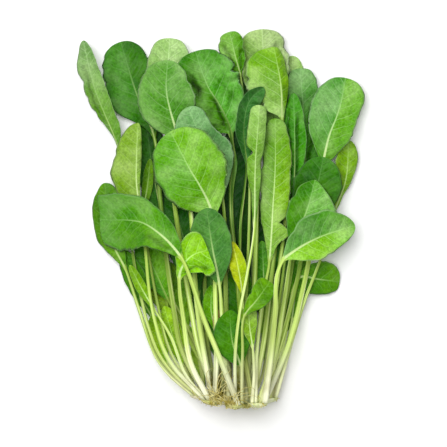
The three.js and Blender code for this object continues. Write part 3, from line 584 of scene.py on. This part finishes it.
# ---------------------------------------------------------------------------------------
# Mid-green leaves
# The broad upper leaves and the large ones on top of the heap, full-grown and fresh. Each is
# held by its own stalk and lies loose on the leaves below it.
# ---------------------------------------------------------------------------------------
lay(leaf_skin("mid_green_leaf", 0.42, 0.44), "leaf_mid_green", 200, {
    "low_right_slip": {"green": ("#7db33c", "#86ba44")},
    "low_middle_slip": {"green": ("#4c8a24", "#55922c")},
    "top_left_broad": {"green": ("#508838", "#3d7622"), "neck_green": "#2f6a14",
                       "lobes": ((1, 0.72, 0.06, 0.05), (-1, 0.12, 0.12, 0.35)),
                       "sweep": (4.0, 0.0)},
    "far_left_rolled": {"green": ("#6c9a44", "#76a450"), "tip_green": "#8cad76", "margin_wave": 1.4,
                        "creases": ((-0.5, 0.16, 1.4, 0.35, 0.3, 0.8),),
                        "lobes": ((-1, 0.16, 0.1, 0.7), (-1, 0.3, 0.08, 0.3), (-1, 0.42, 0.03, 0.2),
                                  (-1, 0.55, 0.02, 0.14), (-1, 0.68, 0.025, 0.16),
                                  (1, 0.22, 0.08, -0.3), (-1, 0.8, 0.08, -0.25))},
    "top_middle_broad": {"green": ("#6ba149", "#78b45c"), "tip_green": "#5e9644",
                         "stalk_tint": 0.1, "crumple": 1.6, "margin_wave": 2.2,
                         "crumple_length": 11.0, "wave_length": 13.0,
                         "creases": ((-0.42, 0.12, 4.2, 0.85, 0.48, 0.78),
                                     (-0.75, 0.12, -2.0, 0, 0, 1),
                                     (0.5, 0.08, 1.4, 0.25, 0.25, 0.7),
                                     (-0.16, 0.09, 1.4, 0.75, 0.02, 0.5)),
                         "lobes": ((-1, 0.05, 0.025, -2.0), (-1, 0.12, 0.025, -0.9),
                                   (-1, 0.36, 0.07, 0.35), (-1, 0.6, 0.06, 0.32),
                                   (-1, 0.86, 0.06, -0.2), (1, 0.06, 0.03, -1.2),
                                   (1, 0.42, 0.05, 0.12), (1, 0.64, 0.04, 0.14),
                                   (-1, 0.93, 0.03, 0.1), (1, 0.9, 0.03, 0.1),
                                   (-1, -0.25, 0.3, -1.0), (1, -0.25, 0.3, -1.0))},
    "upper_left_oval": {"green": ("#72a354", "#6fa054"), "stalk_tint": 0.9, "crumple": 0.9,
                        "lobes": ((1, 0.78, 0.06, 0.1),)},
    "right_oval": {"green": ("#78ac62", "#82b658"), "neck_green": "#56902e", "stalk_tint": 0.9,
                   "lobes": ((-1, 0.12, 0.14, 0.3), (1, 0.6, 0.2, 0.3), (1, 0.2, 0.1, 0.1))},
    "lower_left": {"green": ("#3c7c02", "#448402")},
    "right_middle": {"green": ("#5a9636", "#84b964"), "margin_wave": 1.6,
                     "lobes": ((1, 0.32, 0.05, 0.14), (1, 0.6, 0.22, -0.45), (-1, 0.62, 0.24, -0.5),
                               (-1, 0.9, 0.12, -0.6))},
    "broad_left": {"green": ("#5f9a30", "#639d3e"), "tip_green": "#5c9440", "stalk_tint": 1.0,
                   "sweep": (-4.0, 9.0), "creases": ((-0.5, 0.14, 1.2, 0.35, 0.1, 0.5),),
                   "lobes": ((-1, 0.34, 0.07, 0.1), (-1, 0.6, 0.05, -0.06), (-1, 0.82, 0.06, -0.08),
                             (1, 0.42, 0.18, 0.14))},
}, green=("#5f9c3c", "#5f9c3c"), stalk_tint=0.45)

# ---------------------------------------------------------------------------------------
# Bright leaves
# Younger leaves, fresher and yellower in their green, with softer blades that wave and fold
# more. They lie among the full-grown ones, each on its own stalk.
# ---------------------------------------------------------------------------------------
lay(leaf_skin("bright_green_leaf", 0.42, 0.44), "leaf_bright_green", 300, {
    "sprout_left": {"green": ("#84b222", "#8ebd2d")},
    "sprout_left_upper": {"green": ("#84b222", "#8ebd2d")},
    "left_small": {"green": ("#6fa020", "#7bad26")},
    "top_small": {"green": ("#80b058", "#6ea446"), "margin_wave": 2.4, "wave_length": 11.0,
                  "crumple": 1.3, "crumple_length": 8.0,
                  "creases": ((-0.5, 0.12, 1.6, 0.4, 0.2, 0.8), (0.5, 0.12, 1.4, 0.4, 0.1, 0.7)),
                  "lobes": ((-1, 0.5, 0.07, 0.2), (-1, 0.86, 0.05, 0.15), (1, 0.6, 0.06, 0.2),
                            (1, 0.35, 0.05, -0.15))},
    "sprout_middle": {"green": ("#6fb02a", "#78b834")},
    "low_bright": {"green": ("#438606", "#3f8206")},
    "big_bright": {"green": ("#74ae4e", "#82ba50"), "neck_green": "#98ce62", "stalk_tint": 1.0,
                   "lobes": ((-1, 0.2, 0.14, -0.3), (-1, 0.5, 0.16, -0.06), (1, 0.3, 0.06, 0.05))},
    "small_green": {"green": ("#66a023", "#5d971e"), "lobes": ((-1, 0.5, 0.05, 0.15),)},
    "broad_right": {"green": ("#74aa5c", "#9ed460"), "stalk_tint": 1.0, "tip_green": "#86be60",
                    "lobes": ((-1, 0.28, 0.06, 0.14), (1, 0.55, 0.05, 0.06),
                              (1, 0.82, 0.14, 0.15))},
    "small_folded": {"green": ("#8fca44", "#97d24c"), "neck_green": "#7cb838", "stalk_tint": 1.0,
                     "margin_wave": 0.5, "sweep": (-1.0, 2.0),
                     "creases": ((0.62, 0.07, 1.4, 0.6, 0.15, 0.95),
                                 (0.95, 0.14, -1.6, -0.15, 0.1, 1.1)),
                     "lobes": ((-1, 0.8, 0.12, -0.12), (-1, 0.25, 0.15, 0.35))},
}, green=("#7fb64c", "#81b849"), stalk_tint=0.6)

# ---------------------------------------------------------------------------------------
# Leaves with bloom
# Full-grown leaves whose skin carries a thicker layer of wax, which makes them look bluer and
# duller. They lie under and between the bright ones.
# ---------------------------------------------------------------------------------------
lay(leaf_skin("waxy_blue_green_leaf", 0.5, 0.42, bloom=0.12), "leaf_blue_green", 400, {
    "right_curled": {"green": ("#42772f", "#4a8236"), "stalk_tint": 0.1},
    "blue_behind": {"green": ("#78a862", "#7cac68"), "stalk_tint": 0.2, "margin_wave": 1.3,
                    "lobes": ((1, 0.76, 0.18, 0.4),)},
    "middle_blue": {"green": ("#549024", "#4f8a2a"), "tip_green": "#528830"},
}, green=("#6ca94a", "#6ca94a"), stalk_tint=0.5)

# ---------------------------------------------------------------------------------------
# Pale leaves
# Thin young leaves with little green in their flesh, so that they look pale and nearly matt.
# Most stand at the back of the heap, on the longest stalks.
# ---------------------------------------------------------------------------------------
lay(leaf_skin("thin_pale_leaf", 0.5, 0.38), "leaf_pale_green", 500, {
    "top_right_pale": {"green": ("#93b96a", "#9bc073"), "neck_green": "#5a8a30",
                       "lobes": ((-1, 0.45, 0.14, -0.5),)},
    "top_curled": {"green": ("#9cbc74", "#b0ca8c"), "neck_green": "#86ae58", "margin_wave": 2.4,
                   "wave_length": 13.0, "crumple": 1.5, "crumple_length": 11.0,
                   "creases": ((-0.35, 0.25, 2.6, 0.72, 0.38, 0.76),
                               (0.6, 0.12, 2.0, 0.3, 0.2, 0.9), (-0.75, 0.1, 1.6, 0.3, 0.1, 0.6)),
                   "lobes": ((1, 0.8, 0.06, 0.12), (-1, 0.84, 0.08, -0.08), (-1, 0.6, 0.05, 0.14),
                             (1, 0.55, 0.04, -0.1))},
    "top_pale": {"green": ("#a2c67e", "#abcc89"), "neck_green": "#649344"},
    "top_right_folded": {"green": ("#a0c674", "#7fb22b"), "tip_green": "#83b743",
                         "neck_green": "#9cc470", "margin_wave": 1.5, "crumple": 1.0,
                         "lobes": ((-1, 0.24, 0.05, 0.25), (-1, 0.1, 0.04, -0.4),
                                   (-1, 0.62, 0.05, 0.08))},
    "long_lobed": {"green": ("#8cb65c", "#94be66"), "neck_green": "#5f9038", "tip_green": "#a4cc79",
                   "stalk_tint": 1.0, "crumple": 0.9,
                   "lobes": ((-1, 0.62, 0.035, 0.7), (-1, 0.3, 0.03, 0.25), (1, 0.55, 0.06, 0.35),
                             (-1, 0.22, 0.28, 0.6))},
    "sprout_pale": {"green": ("#99bf5b", "#93ba56")},
}, green=("#a2c67e", "#abcc89"), stalk_tint=0.5)

# ---------------------------------------------------------------------------------------
# Leaves lying face down
# Leaves turned over on their stalks, so that the back of the blade shows. It is paler and
# more matt than the face, and its veins stand out.
# ---------------------------------------------------------------------------------------
lay(leaf_skin("leaf_back", 0.55, 0.42), "leaf_underside", 600, {
    "left_folded": {"green": ("#88ac50", "#9cc066"), "crumple": 0.9,
                    "lobes": ((-1, 0.16, 0.05, -0.15), (1, 0.5, 0.4, 0.14))},
    "long_middle": {"green": ("#88b060", "#9ac65c"), "neck_green": "#9cc66a",
                    "tip_green": "#7ba950", "crumple": 1.0, "stalk_tint": 1.0,
                    "lobes": ((1, 0.2, 0.05, -1.0), (1, 0.285, 0.022, 0.45), (-1, 0.45, 0.05, 0.12),
                              (-1, 0.7, 0.06, 0.12), (1, 0.62, 0.05, 0.08))},
}, green=("#94bd58", "#7fab3e"), stalk_tint=0.8)

# ---------------------------------------------------------------------------------------
# Ageing leaves
# Leaves past their best: two are olive, one is turning yellow, and one has withered to a dry
# brown slip. They lie in the gaps and at the edge of the heap, on their own stalks.
# ---------------------------------------------------------------------------------------
lay(leaf_skin("olive_leaf", 0.5, 0.36), "leaf_olive", 700, {
    "left_sliver": {"green": ("#5c8a26", "#6a9630")},
    "right_edge": {"green": ("#80aa43", "#8ab450"), "stalk_tint": 0.9,
                   "lobes": ((1, 0.22, 0.2, 0.6), (1, 0.46, 0.3, 0.5), (-1, 0.2, 0.15, 0.3))},
})
lay(leaf_skin("yellowing_leaf", 0.5, 0.25), "leaf_yellow", 710, {
    "yellow": {"green": ("#b2c430", "#a2c434"), "tip_green": "#cdd636"},
})
lay(leaf_skin("withered_leaf", 0.75, 0.3, dry="#8c6430"), "leaf_withered", 720, {
    "withered": {"green": ("#a9824a", "#b08a50"), "crumple": 0.8},
})

# ---------------------------------------------------------------------------------------
# Root collars
# The short white stem at the foot of each plant, where its stalks join, cut just below. Its
# skin is lumpy and cream, stained by soil, and fine tan roots hang and curl from it.
# ---------------------------------------------------------------------------------------
def root_skin(name, pale, stained):
    """Washed root skin: matt and fibrous, cream with tan soil stains in its creases."""
    material = bpy.data.materials.new(name)
    material.use_nodes = True
    tree = material.node_tree
    shader = tree.nodes["Principled BSDF"]
    place = tree.nodes.new("ShaderNodeTexCoord").outputs["Object"]
    # stains 4 mm wide over wrinkles 0.9 mm wide, coarser than the real ones so that they show
    stain = add(tree, "ShaderNodeTexNoise", place, 1 / 0.004, 3.0)
    share = add(tree, "ShaderNodeMapRange", stain, 0.38, 0.62)
    colour = add(tree, "ShaderNodeMix", share, linear(pale), linear(stained), data_type="RGBA")
    wrinkles = add(tree, "ShaderNodeTexNoise", place, 1 / 0.0009, 2.0)
    bump = add(tree, "ShaderNodeBump", 0.6, 0.0003, 0.1, wrinkles)
    tree.links.new(colour, shader.inputs["Base Color"])
    tree.links.new(bump, shader.inputs["Normal"])
    shader.inputs["Roughness"].default_value = 0.75
    shader.inputs["Specular IOR Level"].default_value = 0.2
    return material


# white where soil kept the light off, olive where soil has stained it, greenish where it was
# in the light; and the fine roots dry to the colour of straw
pale_collar = root_skin("pale_collar_skin", "#f0efdf", "#dcd6b0")
stained_collar = root_skin("stained_collar_skin", "#c8cc80", "#9c9a44")
green_collar = root_skin("green_collar_skin", "#eef2cc", "#d2dc94")
fibre_skin = root_skin("fine_root_skin", "#e0da9a", "#ab9c44")
COLLAR_SIDES = 28
COLLAR_ROWS = 9
COLLAR_LENGTH = 0.7          # share of its solid's length
COLLAR_UNEVEN = 0.12         # and how much that varies round it
FIBRE_RADIUS = 0.4 * MM      # drawn thicker than the real 0.25 mm across, so that it shows
FIBRE_SIDES = 5
FIBRE_STEPS = 14
FIBRE_SAG = 0.12             # how far its weight turns it down at each step
FIBRE_STEER = 0.9            # how far it is turned back, 3 mm above the foot and over the top
FIBRE_BOUND = 0.003


def grow_collar(node, seed, skin, fibres, longest, arched=0.4, lean=0.0):
    """One collar: a lumpy stub round the feet of its stalks, with that many fine roots, of
    which the share arched loops back over the stalks. lean moves them from its middle, 0, to
    its right, 1, or its left, -1."""
    draw = np.random.default_rng(seed)
    low, high = (np.array(corner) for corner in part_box(node))
    middle = (low + high) / 2
    half = (high - low) / 2
    points, faces = [], []
    lumps = draw.uniform(0, 2 * math.pi, 4)
    for row in range(COLLAR_ROWS):
        down = row / (COLLAR_ROWS - 1)
        shrink = math.sqrt(max(1 - down**2, 0.02))
        for k in range(COLLAR_SIDES):
            turn = 2 * math.pi * k / COLLAR_SIDES
            lump = 0.1 * math.sin(5 * turn + lumps[0])
            lump += 0.06 * math.sin(8 * turn + lumps[1] + 3 * down)
            size = shrink * (0.94 + lump * (0.4 + down))
            deep = COLLAR_LENGTH + COLLAR_UNEVEN * math.sin(3 * turn + lumps[2])
            points.append((
                middle[0] + half[0] * size * math.cos(turn),
                high[1] - 2 * half[1] * (down * deep),
                middle[2] + half[2] * size * math.sin(turn),
            ))
    for row in range(COLLAR_ROWS - 1):
        a, b = row * COLLAR_SIDES, (row + 1) * COLLAR_SIDES
        for k in range(COLLAR_SIDES):
            k_next = (k + 1) % COLLAR_SIDES
            faces.append((a + k, a + k_next, b + k_next, b + k))
    faces.append(tuple(range(COLLAR_SIDES - 1, -1, -1)))
    faces.append(tuple((COLLAR_ROWS - 1) * COLLAR_SIDES + k for k in range(COLLAR_SIDES)))
    collar_faces = len(faces)

    for _ in range(fibres):
        turn = math.pi / 2 - 1.1 * lean + draw.uniform(-1, 1) * (1.4 - 0.8 * abs(lean))
        down = draw.uniform(0.0, 0.7)
        place = middle + half * np.array(
            [math.cos(turn) * 0.85, 1 - 2 * down, math.sin(turn) * 0.85]
        )
        heading = np.array([math.cos(turn) * 1.2, draw.uniform(-0.7, 0.8), 0.7 * math.sin(turn)])
        curl = 0.0
        if draw.random() < arched:
            heading = np.array([draw.uniform(-0.5, 0.5), draw.uniform(0.8, 1.4), 0.4])
            curl = draw.choice((-1, 1)) * draw.uniform(2.0, 3.6) / FIBRE_STEPS
        heading /= np.linalg.norm(heading)
        length = draw.uniform(0.35, 1.0) * longest
        bend = draw.normal(0, 1, 3)
        radius = FIBRE_RADIUS * draw.uniform(0.6, 1.3)
        first = len(points)
        for step in range(FIBRE_STEPS + 1):
            side = np.cross(heading, (0.3, 0.2, 1.0))
            side /= np.linalg.norm(side)
            rise = np.cross(side, heading)
            thin = radius * (1 - 0.6 * step / FIBRE_STEPS)
            for k in range(FIBRE_SIDES):
                angle = 2 * math.pi * k / FIBRE_SIDES
                points.append(place + thin * (math.cos(angle) * side + math.sin(angle) * rise))
            bend = bend * 0.8 + draw.normal(0, 0.5, 3)
            swing = np.array([-heading[1], heading[0], 0]) * curl
            too_low = place[1] < low[1] + FIBRE_BOUND
            too_high = place[2] > high[2] + FIBRE_BOUND
            turned_back = np.array([0, too_low, -1.0 * too_high])
            sag = np.array([0, 0, -FIBRE_SAG])
            heading = heading + swing + 0.2 * bend + sag + FIBRE_STEER * turned_back
            heading /= np.linalg.norm(heading)
            place = place + heading * length / FIBRE_STEPS
            place[2] = max(place[2], FIBRE_RADIUS)
        for step in range(FIBRE_STEPS):
            for k in range(FIBRE_SIDES):
                k_next = (k + 1) % FIBRE_SIDES
                a = first + step * FIBRE_SIDES
                faces.append((a + k, a + FIBRE_SIDES + k, a + FIBRE_SIDES + k_next, a + k_next))

    mesh = bpy.data.meshes.new(node + "_grown")
    mesh.from_pydata([tuple(point) for point in points], [], faces)
    mesh.polygons.foreach_set("use_smooth", [True] * len(mesh.polygons))
    mesh.materials.append(skin)
    mesh.materials.append(fibre_skin)
    mesh.polygons.foreach_set("material_index", [int(i >= collar_faces) for i in range(len(faces))])
    piece = bpy.data.objects.new("root_" + node.replace("crown", "collar"), mesh)
    bpy.context.scene.collection.objects.link(piece)
    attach(piece, "root")
    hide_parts(node)


grow_collar("crown_left", 901, pale_collar, fibres=3, longest=0.006)
grow_collar("crown_left_middle", 902, pale_collar, fibres=8, longest=0.008)
grow_collar("crown_right_middle", 903, stained_collar, fibres=6, longest=0.008)
grow_collar("crown_right", 904, green_collar, fibres=3, longest=0.006)
grow_collar("crown_upper_left", 905, stained_collar, fibres=34, longest=0.032, arched=0.85,
            lean=0.6)
grow_collar("crown_upper_middle", 906, stained_collar, fibres=30, longest=0.032, arched=0.85,
            lean=-0.6)
grow_collar("crown_upper_right", 907, green_collar, fibres=5, longest=0.008)

# ---------------------------------------------------------------------------------------
# Surface and light
# White paper laid flat under the bunch, a large soft box above it, a little up and to the
# left, and an even white surround that opens the shadows.
# ---------------------------------------------------------------------------------------
white_paper = bpy.data.materials.new("white_paper")  # matt, so that shadows on it stay soft
white_paper.use_nodes = True
paper = white_paper.node_tree.nodes["Principled BSDF"]
paper.inputs["Base Color"].default_value = linear("#fafafa")
paper.inputs["Roughness"].default_value = 0.8

floor_mesh = bpy.data.meshes.new("studio_surface")
floor_mesh.from_pydata([(-4, -4, 0), (4, -4, 0), (4, 4, 0), (-4, 4, 0)], [], [(0, 1, 2, 3)])
floor_mesh.materials.append(white_paper)
floor = bpy.data.objects.new("studio_surface", floor_mesh)
floor.location.z = -0.0004   # just clear of the lowest leaf
bpy.context.scene.collection.objects.link(floor)

world = bpy.data.worlds.new("studio")
world.use_nodes = True
background = world.node_tree.nodes["Background"]
background.inputs["Color"].default_value = linear("#ffffff")
background.inputs["Strength"].default_value = 0.36
bpy.context.scene.world = world

key = bpy.data.lights.new("soft_box", "AREA")
key.shape = "RECTANGLE"
key.size = 1.2
key.size_y = 1.2
key.energy = 24.0
key_lamp = bpy.data.objects.new("soft_box", key)
key_lamp.location = (-0.3, 0.36, 1.36)
to_bunch = -Vector(key_lamp.location)
key_lamp.rotation_euler = to_bunch.to_track_quat("-Z", "Y").to_euler()
bpy.context.scene.collection.objects.link(key_lamp)

# ---------------------------------------------------------------------------------------
# Camera
# Straight down on the bunch, from far enough that near and far leaves keep their size. The
# bunch's length sets the width of the view.
# ---------------------------------------------------------------------------------------
LENS = 150.0
SENSOR = 36.0
VIEW_TO_LENGTH = 1.165       # width of the view over the length of the bunch
VIEW_MIDDLE = (0.0004, -0.0028)
bunch_length = cad_high.y - cad_low.y
middle_height = (cad_high.z + cad_low.z) / 2
camera = bpy.data.cameras.new("camera")
camera.lens = LENS
camera.sensor_width = SENSOR
camera_object = bpy.data.objects.new("camera", camera)
distance = bunch_length * VIEW_TO_LENGTH * LENS / SENSOR
camera_object.location = (*VIEW_MIDDLE, middle_height + distance)
bpy.context.scene.collection.objects.link(camera_object)
bpy.context.scene.camera = camera_object
bpy.context.scene.view_settings.view_transform = "Standard"
